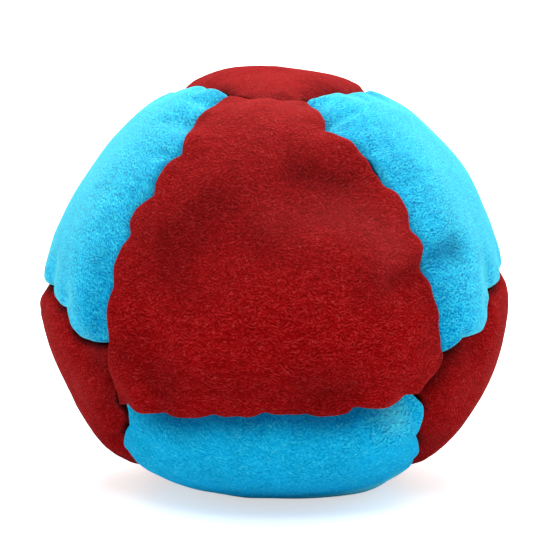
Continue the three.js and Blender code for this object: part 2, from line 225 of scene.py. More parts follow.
# Seams by the corners they join: their sways, then the places of their tight stitches. Many
# sways of the seams in view, and the corners V2u, V2d and V3d, were worked out by a separate
# script from the panels' borders in the photo. The rest were set one by one.
SEWN_LINES = {
    ("V1L", "V2u"): (
        [(2.6, -0.1), (4.1, 0.12), (6.1, 0.11), (7.6, 0.59), (10, 1.83), (11.7, 2.6), (13.5, 1.71),
            (15, 1.48), (17.6, 1.43), (19, 0.27), (19.8, -0.39), (21.4, -0.68), (22.8, -0.19),
            (24.5, -0.52), (26.6, -1.08), (29.6, -0.99), (31.8, -1.01), (34.2, -0.52)],
        [2.8, 7.3, 11.8, 17.6, 22.8, 29.4, 34.3],
    ),
    ("V3u", "V1R"): (
        [(1.1, 0.56), (3.5, 0.28), (6.6, -0.09), (8, -0.1), (10, -0.6), (11.2, -0.95),
            (12.4, -1.05), (13.8, -0.6), (15.3, 0.1), (16.4, 0.1), (17.4, -0.3), (20, 0.05),
            (21.2, 0.9), (23.5, 1.15), (25.5, 1.05), (28, 1.35), (29.5, 2.4), (31, 2.75),
            (32.5, 1.3), (34.5, 0.35)],
        [3.4, 7, 10.2, 15.3, 21.3, 26, 31.2, 35.5],
    ),
    ("V2d", "V3d"): (
        [(1.8, 1.59), (3.8, 1.6), (5.8, 2.45), (7.8, 2.98), (9.2, 2.96), (11.8, 3.42),
            (13.8, 3.88), (15, 3.76), (16.8, 3.99), (18.1, 3.75), (19.8, 4.04), (22.2, 3.7),
            (23.8, 2.85), (24.4, 2.86), (25.8, 2.21), (29.1, 1.44), (29.9, 1.86), (30.8, 1.69),
            (33.4, 0.66), (36.2, 0.8)],
        [2.8, 7.8, 13.8, 19.6, 24.3, 29.8, 35.8],
    ),
    ("V1L", "V1R"): ([(0.9, -0.3), (2.2, -0.9), (4, -1.35), (6, -1.3), (7.4, -0.8)], [3, 7.5]),
    ("V2u", "V2d"): ([(1.5, 0.1), (4, 0.5), (6.4, 0.5)], [4.4]),
    ("V3u", "V3d"): ([(1, 0.4), (3, 0.4)], [3.4]),
    ("V1L", "N3f"): (
        [(1.5, -0.1), (3.1, -0.2), (4.6, 0.05), (5.6, -0.28), (6.6, -0.2), (8, 0.4), (10.5, 0.6),
            (12.6, 0.2), (15.1, -1), (17.6, -2.19), (20.6, -2.36), (22.6, -1.34), (25.6, -1.41),
            (28.6, -0.38), (32.6, -0.33)],
        [4.6, 10.4, 16.1, 21.1, 26.6, 31.6],
    ),
    ("V1R", "N2f"): (
        [(1.5, 0.7), (3.2, 0.05), (4, -0.4), (5.2, -0.5), (6.4, -1), (8.4, -1.3), (10.9, -1.2),
            (13, -0.3), (15.5, 0.3), (18, 1.5), (21, 1.85), (23.5, 2.06), (27, 0.89), (29.5, 1.04),
            (32.9, 0.06)],
        [6.5, 11.4, 16.4, 21.4, 26.9, 31.9],
    ),
    ("V2u", "N3f"): (
        [(1.7, 0.97), (3.7, 1.8), (5.8, 2.52), (7.8, 2.1), (9.7, 0.7), (11.3, 1.2), (13.5, 1.6),
            (15.4, 0.9), (18.3, 2.2), (20.8, 2.2), (23.8, 3.2), (26.8, 3.02), (29.8, 3.12),
            (32.8, 1.88), (36.8, 1.51), (40.7, 0.34)],
        [4.9, 9.9, 15.4, 20.8, 26.3, 31.8, 37.3],
    ),
    ("V3u", "N2f"): (
        [(3.7, -0.13), (5.7, -1.04), (7.7, -2.05), (9.2, -1.6), (10.6, -0.4), (12.2, 0.8),
            (13.7, 0.1), (16.2, -1.1), (18.7, -1), (21.2, -2), (24.2, -2.1), (27.2, -3.05),
            (30.7, -1.97), (33.7, -1.95), (38.7, -0.73)],
        [3.7, 12.2, 17.7, 23.7, 29.7, 35.7],
    ),
    ("V2d", "N1f"): (
        [(1.2, 0.93), (2.6, 1.4), (4.2, 0.67), (6.2, 0.15), (8.2, 1.2), (10.2, 1.9), (12.7, 1.5),
            (14.6, 0.4), (18.1, 0), (21.1, -1.4), (24.1, -0.87), (28.1, -1.24), (32.2, -0.25),
            (36.1, -0.37)],
        [2.7, 7.2, 12.2, 17.7, 23.1, 29.1, 35.1],
    ),
    ("V3d", "N1f"): (
        [(1.4, 0.25), (3.4, 1.2), (4.6, 0.9), (6.9, -0.25), (9.3, 0.54), (12.3, 1.49),
            (14.3, 1.31), (16.8, 1.93), (19.8, 1.65), (22.8, 2.43), (26.3, 1.79), (29.3, 1.95),
            (33.3, 0.84), (38.3, 0.76)],
        [6.9, 13.3, 19.3, 25.8, 31.8, 38.3],
    ),
    ("N3f", "N3b"): ([(4, 0.4)], [4]),
    ("N2f", "N2b"): ([(4, -0.4)], [4]),
    ("N1f", "N1b"): ([(4, 0.4)], [4]),
    ("N3b", "N2b"): (
        [(3, -0.2), (6, -1.4), (9, -1.1), (12, -2), (15, -1.3), (18, -1.8), (21, -0.8), (24, -0.9),
            (27, -0.2)],
        [3.5, 8.6, 14.6, 20.4, 26],
    ),
    ("N2b", "N1b"): (
        [(3, -0.1), (6, -1.2), (9, -0.9), (12, -1.8), (15, -1.2), (18, -1.7), (21, -0.6),
            (24, -0.6)],
        [3.5, 9, 14.8, 20.6, 26],
    ),
    ("N1b", "N3b"): (
        [(3, -0.2), (6, -1.3), (9, -1), (12, -1.8), (15, -1.2), (18, -1.7), (21, -0.8),
            (24, -0.8)],
        [3.5, 8.8, 14.6, 20.4, 26],
    ),
}
SEAMS = {ends: Seam(*ends, sway, tight) for ends, (sway, tight) in SEWN_LINES.items()}
SUEDE_THICKNESS = 0.8
SAND_GAP = 0.25
PUCKER_ROOM = 0.9
SEWN_IN, SEWN_REACH, GROOVE_STEEPNESS = 4.6, 3.6, 2.5
GRAIN_ROUGHNESS = 0.06
sand_shape = bmesh.new()
bmesh.ops.create_icosphere(sand_shape, subdivisions=6, radius=1)
ways = unit(np.array([v.co for v in sand_shape.verts]))
groove = np.zeros(len(ways))
for seam in SEAMS.values():
    along, left = seam.seen_from(ways)
    over = np.maximum(np.maximum(-along, along - seam.length), 0)
    inside = np.hypot(left, over) - SEWN_REACH
    groove = np.maximum(groove, SEWN_IN / (1 + np.exp(inside * GROOVE_STEEPNESS)))
pits = sum(hollowed(ways, hollows) for hollows in PITS.values())
grains = chance.normal(size=len(ways)) * GRAIN_ROUGHNESS
sand_depth = SUEDE_THICKNESS + SAND_GAP + PUCKER_ROOM + groove + pits + grains
for vert, place in zip(sand_shape.verts, bag_point(ways, sand_depth, SUEDE_THICKNESS + SAND_GAP)):
    vert.co = place * MM
sand_mesh = bpy.data.meshes.new("loose_sand")
sand_shape.to_mesh(sand_mesh)
sand_shape.free()
sand = bpy.data.objects.new("loose_sand", sand_mesh)
bpy.context.scene.collection.objects.link(sand)


def patterned_finish(name, texture, settings, colour_from, height_from, colours, roughness, relief):
    """A finish whose colour and relief both follow one fine pattern that runs through the piece."""
    finish = bpy.data.materials.new(name)
    finish.use_nodes = True
    nodes, links = finish.node_tree.nodes, finish.node_tree.links
    shader = nodes["Principled BSDF"]
    place = nodes.new("ShaderNodeTexCoord")
    pattern = nodes.new(texture)
    pattern.name = "pattern"
    for socket, value in settings.items():
        pattern.inputs[socket].default_value = value
    links.new(place.outputs["Object"], pattern.inputs["Vector"])
    ramp = nodes.new("ShaderNodeValToRGB")
    for element, colour in zip(ramp.color_ramp.elements, colours):
        element.color = (*colour, 1)
    links.new(pattern.outputs[colour_from], ramp.inputs["Fac"])
    links.new(ramp.outputs["Color"], shader.inputs["Base Color"])
    shader.inputs["Roughness"].default_value = roughness
    bump = nodes.new("ShaderNodeBump")
    bump.inputs["Distance"].default_value = relief
    links.new(pattern.outputs[height_from], bump.inputs["Height"])
    links.new(bump.outputs["Normal"], shader.inputs["Normal"])
    return finish


sand_finish = patterned_finish("washed_sand", "ShaderNodeTexVoronoi", {"Scale": 2500}, "Color", "Distance",
    colours=[(0.33, 0.22, 0.11), (0.62, 0.5, 0.33)], roughness=0.85, relief=0.0002)
sand.data.materials.append(sand_finish)
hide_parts("sand_fill")
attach(sand, "root")

# Thread: dark red bonded polyester, one run to each seam. It goes through both turned-in edges
# from side to side, so almost all of it is hidden between the panels and the sand.
thread_finish = patterned_finish("bonded_thread", "ShaderNodeTexWave", {"Scale": 700, "Distortion": 1.5},
    "Fac", "Fac", colours=[(0.06, 0.002, 0.002), (0.2, 0.008, 0.008)], roughness=0.5, relief=0.0001)
thread_finish.node_tree.nodes["pattern"].bands_direction = "DIAGONAL"
for name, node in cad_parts.items():
    if name.startswith("thread_"):
        node.data.materials.clear()
        node.data.materials.append(thread_finish)

# Suede nap: brushed microfibre. Short fibres lie in tangled tufts a quarter of a millimetre
# wide, with painted light above and painted shade below. Both colours of suede have it.
nap = bpy.data.node_groups.new("suede_nap", "ShaderNodeTree")
for socket, kind in (("Place", "NodeSocketVector"), ("Tuft length", "NodeSocketFloat"),
        ("Tuft width", "NodeSocketFloat"), ("Lie", "NodeSocketFloat"), ("Painted underside shade", "NodeSocketFloat")):
    nap.interface.new_socket(socket, in_out="INPUT", socket_type=kind)
for socket in ("Tufts", "Patches", "Light fibres", "Height"):
    nap.interface.new_socket(socket, in_out="OUTPUT", socket_type="NodeSocketFloat")
nap_in, nap_out = nap.nodes.new("NodeGroupInput"), nap.nodes.new("NodeGroupOutput")


def nap_noise(vector, scale, detail, roughness=0.5):
    noise = nap.nodes.new("ShaderNodeTexNoise")
    noise.inputs["Scale"].default_value = scale
    noise.inputs["Detail"].default_value = detail
    noise.inputs["Roughness"].default_value = roughness
    nap.links.new(vector, noise.inputs["Vector"])
    return noise


def nap_math(operation, *values):
    node = nap.nodes.new("ShaderNodeMath")
    node.operation = operation
    for socket, value in zip(node.inputs, values):
        if isinstance(value, (int, float)):
            socket.default_value = value
        else:
            nap.links.new(value, socket)
    return node.outputs[0]


def nap_vector(operation, *values):
    node = nap.nodes.new("ShaderNodeVectorMath")
    node.operation = operation
    for socket, value in zip(node.inputs, values):
        if isinstance(value, tuple):
            socket.default_value = value
        else:
            nap.links.new(value, socket)
    return node.outputs[0]


def nap_range(value, low, high):
    node = nap.nodes.new("ShaderNodeMapRange")
    node.interpolation_type = "SMOOTHSTEP"
    node.inputs["From Min"].default_value = low
    node.inputs["From Max"].default_value = high
    nap.links.new(value, node.inputs["Value"])
    return node.outputs[0]


def nap_blend(share, a, b):
    """Goes from a to b with a share of 0 to 1."""
    of_a = nap_math("MULTIPLY", a, nap_math("SUBTRACT", 1, share))
    return nap_math("ADD", of_a, nap_math("MULTIPLY", b, share))


def tufts_lying(place, turn):
    """Tufts that lie one way: a noise drawn out along it."""
    turned = nap.nodes.new("ShaderNodeVectorRotate")
    turned.rotation_type = "Z_AXIS"
    nap.links.new(nap_math("ADD", nap_in.outputs["Lie"], turn), turned.inputs["Angle"])
    nap.links.new(place, turned.inputs["Vector"])
    drawn = nap.nodes.new("ShaderNodeCombineXYZ")
    nap.links.new(nap_math("DIVIDE", 1, nap_in.outputs["Tuft length"]), drawn.inputs["X"])
    nap.links.new(nap_math("DIVIDE", 1, nap_in.outputs["Tuft width"]), drawn.inputs["Y"])
    return nap_noise(nap_vector("MULTIPLY", turned.outputs[0], drawn.outputs[0]), 1, 1).outputs["Fac"]


# Tufts lie level, or in patches turned up or down from that by 0.6 radians, and are tangled by
# up to 0.3 mm. Places are in millimetres on the flat cut.
TANGLE_REACH, TUFT_TURN = 0.6, 0.6
nap_place = nap_in.outputs["Place"]
tangle = nap_noise(nap_place, 1.3, 1.5).outputs["Color"]
tangle = nap_vector("SUBTRACT", tangle, (0.5, 0.5, 0.5))
tangle = nap_vector("MULTIPLY", tangle, (TANGLE_REACH, TANGLE_REACH, 0.0))
tangled = nap_vector("ADD", nap_place, tangle)
rising = nap_range(nap_noise(nap_place, 0.45, 1).outputs["Fac"], 0.42, 0.58)
elsewhere = nap_vector("ADD", nap_place, (40.0, 7.0, 0.0))
falling = nap_range(nap_noise(elsewhere, 0.4, 1).outputs["Fac"], 0.5, 0.62)


def tufts_at(place):
    """The height of the tufts at a place, in patches that lie level, rise and fall."""
    level_or_rising = nap_blend(rising, tufts_lying(place, 0), tufts_lying(place, TUFT_TURN))
    return nap_blend(falling, level_or_rising, tufts_lying(place, -TUFT_TURN))


tufts = tufts_at(tangled)

# A tuft gets painted shade on its underside, as if lit from above, told by the tufts about half
# a width further up, and the tufts stand in looser clumps.
PAINTED_UNDERSIDE_STEP, CLUMP_SHARE = 0.55, 0.3
upward = nap.nodes.new("ShaderNodeCombineXYZ")
nap.links.new(nap_math("MULTIPLY", nap_in.outputs["Tuft width"], PAINTED_UNDERSIDE_STEP), upward.inputs["Y"])
painted_undersides = nap_math("SUBTRACT", tufts, tufts_at(nap_vector("ADD", tangled, upward.outputs[0])))
clumps = nap_noise(nap_vector("MULTIPLY", nap_place, (0.6, 1.1, 1.0)), 1, 2, 0.6).outputs["Fac"]
heights = nap_math("SUBTRACT", nap_blend(CLUMP_SHARE, tufts, clumps), 0.5)
seen_tufts = nap_blend(nap_in.outputs["Painted underside shade"], heights, painted_undersides)
nap.links.new(nap_range(seen_tufts, -0.21, 0.21), nap_out.inputs["Tufts"])
patches = nap_range(nap_noise(nap_place, 0.16, 3, 0.6).outputs["Fac"], 0.3, 0.7)
nap.links.new(patches, nap_out.inputs["Patches"])

# Here and there a thin light fibre lies on top.
FIBRE_WIDTH, FIBRE_HEIGHT = 0.035, 0.12
thin = nap_math("ABSOLUTE", nap_math("SUBTRACT", nap_noise(tangled, 2.0, 0).outputs["Fac"], 0.5))
sparse = nap_vector("ADD", nap_place, (13.0, 29.0, 0.0))
sparse = nap_range(nap_noise(sparse, 1.2, 0).outputs["Fac"], 0.63, 0.72)
light_fibres = nap_math("MULTIPLY", nap_math("SUBTRACT", 1, nap_range(thin, 0.0, FIBRE_WIDTH)), sparse)
nap.links.new(light_fibres, nap_out.inputs["Light fibres"])
raised_fibres = nap_math("MULTIPLY", light_fibres, FIBRE_HEIGHT)
nap.links.new(nap_math("ADD", tufts, raised_fibres), nap_out.inputs["Height"])


# How much painted shade tufts get below, how uneven the patches are, how strongly painted light,
# painted shade and painted crease shade show, and what share of its dark colour a crease keeps.
PAINTED_UNDERSIDE_SHARE = 0.22
PATCH_DARK, PATCH_LIGHT = 0.93, 1.07
PAINTED_LIGHT_SHARE, PAINTED_SHADE_SHARE, PAINTED_CREASE_SHARE = 0.6, 0.92, 0.9
PAINTED_CREASE_LEVEL = 0.12
# Under these values of painted light and wear the suede is fully rubbed and has no painted
# sheen. The painted sheen starts this far from face on towards edge on.
FULLY_RUBBED, NO_PAINTED_SHEEN = -0.2, -0.18
PAINTED_SHEEN_FROM = 0.3


def suede(name, dark, middle, light, fibre, pale, deep, painted_sheen, glow, tuft_size, lie, rubbed, relief):
    """Suede of one colour: tufts from dark to light, over soft brushed patches. The tufts show
    less towards the base, where the bag is rubbed. Painted light makes the suede pale, painted
    shade makes it deep, painted shade darkens it inside a fold, and a painted sheen makes it
    lighter where it is seen edge on."""
    finish = bpy.data.materials.new(name)
    finish.use_nodes = True
    nodes, links = finish.node_tree.nodes, finish.node_tree.links
    shader = nodes["Principled BSDF"]

    def sewn_value(attribute):
        value = nodes.new("ShaderNodeAttribute")
        value.attribute_name = attribute
        return value.outputs["Fac"]

    def ranged(value, low, high, to_low, to_high, smooth="LINEAR"):
        node = nodes.new("ShaderNodeMapRange")
        node.interpolation_type = smooth
        for socket, number in zip(("From Min", "From Max", "To Min", "To Max"), (low, high, to_low, to_high)):
            node.inputs[socket].default_value = number
        links.new(value, node.inputs["Value"])
        return node.outputs[0]

    def mixed(share, first, second, way="MIX"):
        node = nodes.new("ShaderNodeMix")
        node.data_type = "RGBA"
        node.blend_type = way
        node.clamp_result = True
        sockets = (node.inputs["Factor"], node.inputs[6], node.inputs[7])
        for socket, value in zip(sockets, (share, first, second)):
            if isinstance(value, tuple):
                socket.default_value = (*value, 1)
            elif isinstance(value, (int, float)):
                socket.default_value = value
            else:
                links.new(value, socket)
        return node.outputs[2]

    cut = nodes.new("ShaderNodeUVMap")
    cut.uv_map = "cut"
    pile = nodes.new("ShaderNodeGroup")
    pile.node_tree = nap
    pile.inputs["Tuft length"].default_value, pile.inputs["Tuft width"].default_value = tuft_size
    pile.inputs["Lie"].default_value = lie
    pile.inputs["Painted underside shade"].default_value = PAINTED_UNDERSIDE_SHARE
    links.new(cut.outputs["UV"], pile.inputs["Place"])
    tuft_colour = nodes.new("ShaderNodeValToRGB")
    tuft_colour.color_ramp.elements[0].color = (*dark, 1)
    tuft_colour.color_ramp.elements[1].color = (*light, 1)
    tuft_colour.color_ramp.elements.new(0.5).color = (*middle, 1)
    links.new(pile.outputs["Tufts"], tuft_colour.inputs["Fac"])
    unrubbed = ranged(sewn_value("painted_light_and_wear"), FULLY_RUBBED, 0, rubbed, 1)
    colour = mixed(unrubbed, middle, tuft_colour.outputs["Color"])
    patches = ranged(pile.outputs["Patches"], 0, 1, PATCH_DARK, PATCH_LIGHT)
    colour = mixed(1, colour, patches, "MULTIPLY")
    colour = mixed(pile.outputs["Light fibres"], colour, fibre)
    # Painted light: the colour is lifted towards pale towards the bag's top and in the listed patches.
    painted_lift = tuple(p - m for p, m in zip(pale, middle))
    colour = mixed(ranged(sewn_value("painted_light_and_wear"), 0, 1, 0, PAINTED_LIGHT_SHARE), colour, painted_lift, "ADD")
    # Painted sheen: the colour turns lighter towards edge on, only where there is painted light.
    skim = nodes.new("ShaderNodeLayerWeight")
    skim.inputs["Blend"].default_value = 0.5
    painted_sheen_share = nodes.new("ShaderNodeMath")
    painted_sheen_share.operation = "MULTIPLY"
    links.new(ranged(skim.outputs["Facing"], PAINTED_SHEEN_FROM, 1, 0, glow, "SMOOTHSTEP"), painted_sheen_share.inputs[0])
    links.new(ranged(sewn_value("painted_light_and_wear"), NO_PAINTED_SHEEN, 0, 0, 1), painted_sheen_share.inputs[1])
    colour = mixed(painted_sheen_share.outputs[0], colour, painted_sheen)
    # Painted shade: the colour is darkened towards deep in pits, in the listed patches and in the shadow of
    # each lapping fold.
    pressed = ranged(sewn_value("pressed"), 0, 1, 0, PAINTED_SHADE_SHARE)
    colour = mixed(pressed, colour, mixed(1, colour, deep, "MULTIPLY"))
    # Painted shade inside the folds and down the sewn allowance.
    crease_shade_share = ranged(sewn_value("painted_crease_shade"), 0, 1, 0, PAINTED_CREASE_SHARE)
    colour = mixed(crease_shade_share, colour, tuple(PAINTED_CREASE_LEVEL * c for c in dark))
    links.new(colour, shader.inputs["Base Color"])
    shader.inputs["Roughness"].default_value = 0.95
    shader.inputs["Specular IOR Level"].default_value = 0.05
    raised = nodes.new("ShaderNodeBump")
    raised.inputs["Strength"].default_value = relief
    raised.inputs["Distance"].default_value = 0.00035
    links.new(pile.outputs["Height"], raised.inputs["Height"])
    links.new(raised.outputs["Normal"], shader.inputs["Normal"])
    return finish


# Suede panels: cut flat from microfibre suede a little under a millimetre thick, puffed out by
# the sand, and sewn face to face along their turned-in edges, so each is a shallow tray with
# its rim turned down. An edge that laps over the next stands proud, and tight stitches pucker.

# Painted light and shade on the nap. It is painted lighter towards the bag's top and is rubbed
# towards its base, and it is painted lighter and darker in places, given as hollows are: from
# where to where, how much, and how wide. The places were chosen by comparing renders with the photo.
PAINTED_TOP_LIGHT = 0.35
PAINTED_LIGHT_PATCHES = [
    ((54, 99), (50, 85), 0.2, 6),
    ((60, 150), (62, 128), 0.2, 6),
    ((28, 42), (32, 18), 0.4, 3.5),
    ((20, 60), (18, 90), 0.25, 3),
    ((60, 2), (60, 32), 0.4, 4.5),
    ((62, 178), (62, 152), 0.25, 4),
    ((60, 197), (55, 203), 0.25, 2.5),
    ((57, 96), (54, 82), 0.25, 1.6),
    ((51, 311), (47, 312), 0.8, 2),
    ((82, 245), (82, 297), 0.8, 3),
]
PAINTED_SHADE_PATCHES = [
    ((31, 78), (35, 55), 0.42, 1.8),
    ((27, 93), (29, 80), 0.15, 2),
    ((32, 158), (26, 125), 0.36, 3),
    ((35, 175), (27, 184), 0.18, 3.2),
    ((28, 168), (22, 150), 0.18, 2.4),
    ((43, 206), (41, 222), 0.35, 2.6),
    ((34, 226), (25, 283), 0.2, 2.2),
    ((30, 297), (34, 304), 0.25, 2),
    ((40, 9), (32, 358), 0.15, 1.2),
    ((49, 10), (54, 11), 0.8, 1.7),
    ((51, 172), (53, 193), 0.4, 2.2),
    ((55, 115), (50, 128), 0.3, 1.8),
    ((50, 66), (50, 42), 0.25, 2),
    ((56, 199), (58, 205), 0.3, 2.2),
    ((20, 295), (26, 305), 0.12, 3),
    ((22, 0), (27, 0), 0.2, 2.5),
    ((14, 112), (12, 95), 0.15, 2.5),
    ((48, 357), (50, 342), 0.35, 1.6),
    ((65, 78), (69, 73), 0.15, 1.5),
    ((70, 72), (80, 64), 0.4, 1.8),
    ((40, 359), (42, 354), 0.25, 2.4),
    ((65, 105), (71, 108), 0.4, 1.5),
    ((33, 282), (34, 291), 0.3, 2.6),
    ((46, 236), (44, 246), 0.25, 2.4),
    ((54.5, 336.5), (58, 341), 1, 1.6),
]


class Lap:
    """How an edge is folded: how far in its fold starts, the fold's radius and how far it turns,
    how much the seam pulls the suede in and over what reach, how deep and long its puckers are,
    how far it has turned where painted shade starts, and how much and how far in painted shadow
    falls from the fold that laps over it, with the share of that which is left at its ends."""

    def __init__(self, inset, radius, turned, dip, reach, pucker, pucker_reach, painted_shade_from,
            pressed=0, pressed_reach=1, at_ends=1):
        self.inset, self.radius, self.turned, self.painted_shade_from = inset, radius, turned, painted_shade_from
        self.dip, self.reach, self.pucker, self.pucker_reach = dip, reach, pucker, pucker_reach
        self.pressed, self.pressed_reach, self.at_ends = pressed, pressed_reach, at_ends


# The front panel's edges are PROUD, and a LIP at its bottom. OVER is the lapping edge of other
# panels and UNDER the lapped one. The rest lie under the front panel's edge: LEVEL at the top,
# BESIDE on the blue sides, TUCKED and DEEP at the lower left and right, BELOW at the bottom.
PROUD = Lap(0.7, 0.9, 130, 0.1, 1.6, 0.45, 2.6, painted_shade_from=85)
LIP = Lap(0.7, 1.2, 120, 0, 1.6, 0.45, 2.6, painted_shade_from=90)
OVER = Lap(0.65, 0.8, 120, 0.2, 1.4, 0.3, 2.2, painted_shade_from=80)
UNDER = Lap(0.8, 0.45, 90, 1.3, 1.8, 0.5, 2.8, painted_shade_from=15, pressed=2.2, pressed_reach=0.8)
LEVEL = Lap(0.8, 0.45, 90, 0.9, 1.7, 0.4, 2.6, painted_shade_from=15, pressed=0.5, pressed_reach=1.3)
BESIDE = Lap(0.45, 0.35, 90, 0.9, 2.4, 0.65, 3.4, painted_shade_from=10, pressed=0.8, pressed_reach=1.1)
TUCKED = Lap(0.7, 0.4, 90, 1.8, 2.6, 0.6, 3, painted_shade_from=10, pressed=0.5, pressed_reach=2.7)
DEEP = Lap(0.8, 0.45, 90, 2, 2.6, 0.5, 3.4, painted_shade_from=20, pressed=1.5, pressed_reach=2.8)
BELOW = Lap(0.8, 0.45, 90, 2.6, 3.2, 0.5, 3.4, painted_shade_from=20, pressed=1.5, pressed_reach=2.9, at_ends=0)


class Edge:
    """One side of a panel: its seam, run forwards or backwards, with the panel on its inside."""

    def __init__(self, start, end, lap):
        self.forward = (start, end) in SEAMS
        self.seam = SEAMS[(start, end)] if self.forward else SEAMS[(end, start)]
        self.sign = 1 if self.forward else -1
        self.lap = lap

    def along(self, share):
        return (share if self.forward else 1 - share) * self.seam.length

    def end_ways(self, at_end):
        ahead, left = self.seam.ways(self.along(np.array([1.0 if at_end else 0.0])))
        return ahead[0] * self.sign, left[0] * self.sign


def from_edge(edge, directions):
    """Places along an edge's seam and distances in from it."""
    along, left = edge.seam.seen_from(directions)
    over = np.maximum(np.maximum(-along, along - edge.seam.length), 0)
    return along, np.hypot(np.maximum(left * edge.sign, 0), over)


PUCKER_WIDTH, PUCKER_SPREAD, PUCKER_LEAN = 0.9, 0.3, 0.25


def edge_pull(edge, directions):
    """How far an edge's seam and its tight stitches pull the suede in, at each direction. The
    sines make no two puckers alike in strength and lean."""
    along, away = from_edge(edge, directions)
    dip = edge.lap.dip * np.exp(-((away / edge.lap.reach) ** 1.5))
    pucker = np.zeros(len(directions))
    for i, place in enumerate(edge.seam.tight):
        strength = 0.75 + 0.25 * np.sin(2.4 * i + place)
        lean = PUCKER_LEAN * np.sin(1.7 * i + 2 * place)
        width = PUCKER_WIDTH + PUCKER_SPREAD * away
        ridge = np.exp(-(((along - place - lean * away) / width) ** 2))
        reach = edge.lap.pucker_reach * (0.7 + 0.5 * strength)
        pucker += strength * ridge * np.exp(-((away / reach) ** 1.6))
    return dip, edge.lap.pucker * pucker


def flat_cut(steps):
    """The cut before it is folded, worked as a triangle of three kites. On a six-sided panel
    the short sides lie over the triangle's corners."""
    cut = bmesh.new()
    middle = cut.verts.new((0, 0, 0))
    outline = []
    for i, angle in enumerate(np.radians([90, 150, 210, 270, 330, 30])):
        away = 2 - i % 2
        outline.append(cut.verts.new((away * np.cos(angle), away * np.sin(angle), 0)))
    for i in (0, 2, 4):
        cut.faces.new((middle, outline[i - 1], outline[i], outline[i + 1]))
    bmesh.ops.subdivide_edges(cut, edges=cut.edges[:], cuts=steps - 1, use_grid_fill=True)
    return cut


# Rows of points from the face over the fold and down the sewn allowance, and the rows of the
# lining side that turn down with them.
FOLD_STEPS, SEWN_ROWS, LINING_ROWS = 6, 3, 2
ROWS = FOLD_STEPS + SEWN_ROWS


def turn_down(cut):
    """Adds the lining side of the suede and its edge to a cut. Each row of points stands one
    lower than the last, from the face at 0 to the lining at twice ROWS."""
    lining = bmesh.ops.duplicate(cut, geom=cut.verts[:] + cut.edges[:] + cut.faces[:])["geom"]
    lining_verts = [v for v in lining if isinstance(v, bmesh.types.BMVert)]
    bmesh.ops.translate(cut, verts=lining_verts, vec=(0, 0, -2 * ROWS))
    for level, rows, step in ((0, ROWS, -1), (-2 * ROWS, LINING_ROWS, 1)):
        rim = [e for e in cut.edges if e.is_boundary and e.verts[0].co.z == level]
        for _ in range(rows):
            grown = bmesh.ops.extrude_edge_only(cut, edges=rim)["geom"]
            rim = [e for e in grown if isinstance(e, bmesh.types.BMEdge)]
            bmesh.ops.translate(cut, verts=list({v for e in rim for v in e.verts}), vec=(0, 0, step))
    bmesh.ops.bridge_loops(cut, edges=[e for e in cut.edges if e.is_boundary])
    bmesh.ops.recalc_face_normals(cut, faces=cut.faces[:])


def take_mesh(name, shape):
    """Makes a mesh of a shape and gives it back with its points."""
    mesh = bpy.data.meshes.new(name)
    shape.to_mesh(mesh)
    shape.free()
    points = np.zeros(len(mesh.vertices) * 3)
    mesh.vertices.foreach_get("co", points)
    return mesh, points.reshape(-1, 3)


# Where a panel's sides start round its cut, of which each third is one side of the triangle,
# and over how many millimetres of seam the folds of two edges blend at a corner.
THREE_STARTS = np.array([0.0, 1.0, 2.0])
SIX_STARTS = np.array([0.1, 0.9, 1.1, 1.9, 2.1, 2.9])
ROOT3 = 3 ** 0.5
CORNER_BLEND = 3.5


class Laid:
    """A cut laid on the bag: the direction of each of its points, the way in from its edge, and
    how that edge is folded there."""

    def __init__(self, flat, edges):
        starts = THREE_STARTS if len(edges) == 3 else SIX_STARTS
        ends = np.append(starts[1:], starts[0] + 3)
        sides = np.radians([150, 270, 30])
        outward = np.stack([flat[:, 0] * np.cos(a) + flat[:, 1] * np.sin(a) for a in sides], 1)
        side, reach = outward.argmax(1), outward.max(1)
        sideways = flat[:, 1] * np.cos(sides[side]) - flat[:, 0] * np.sin(sides[side])
        place = side + 0.5 + sideways / np.maximum(reach, 1e-9) / (2 * ROOT3)
        place = np.where(place < starts[0] - 1e-9, place + 3, place)
        foot, self.inward = np.zeros_like(flat), np.zeros_like(flat)
        self.inset, self.radius, self.turned, self.painted_shade_from = (np.zeros(len(flat)) for _ in range(4))
        ways_in = [edges[i - 1].end_ways(True)[1] for i in range(len(edges))]
        ways_on = [edge.end_ways(False)[1] for edge in edges]
        bends = [np.arccos(np.clip(a @ b, -1, 1)) for a, b in zip(ways_in, ways_on)]
        for i, edge in enumerate(edges):
            on = (place >= starts[i] - 1e-9) & (place <= ends[i] + 1e-9)
            share = np.clip((place[on] - starts[i]) / (ends[i] - starts[i]), 0, 1)
            along = edge.along(share)
            foot[on] = edge.seam.at(along)
            ahead, left = edge.seam.ways(along)
            length = edge.seam.length
            gone, to_go = share * length, (1 - share) * length
            blend = min(CORNER_BLEND, length / 2)
            after = (i + 1) % len(edges)
            mitre = np.tan(bends[i] / 2) * np.clip(1 - gone / blend, 0, 1)
            mitre -= np.tan(bends[after] / 2) * np.clip(1 - to_go / blend, 0, 1)
            self.inward[on] = (left + ahead * mitre[:, None]) * edge.sign
            stops = [0, blend, length - blend + 1e-6, length]
            for part in ("inset", "radius", "turned", "painted_shade_from"):
                mine, first, last = (getattr(edges[k].lap, part) for k in (i, i - 1, after))
                values = [(mine + first) / 2, mine, mine, (mine + last) / 2]
                getattr(self, part)[on] = np.interp(gone, stops, values)
        rim = unit(foot + self.inward * (self.inset / MEAN_RADIUS)[:, None])
        self.on_rim = reach > 1 - 1e-6
        self.centre = unit(rim[self.on_rim].mean(0))
        self.directions = unit(self.centre + (rim - self.centre) * np.minimum(reach, 1)[:, None])


def pulled_in(directions, edges, hollows):
    """How far a panel's seams, tight stitches and own hollows pull it in, at each direction."""
    dips, puckers = zip(*(edge_pull(edge, directions) for edge in edges))
    return sum(d ** 4 for d in dips) ** 0.25 + sum(puckers) + hollowed(directions, hollows)


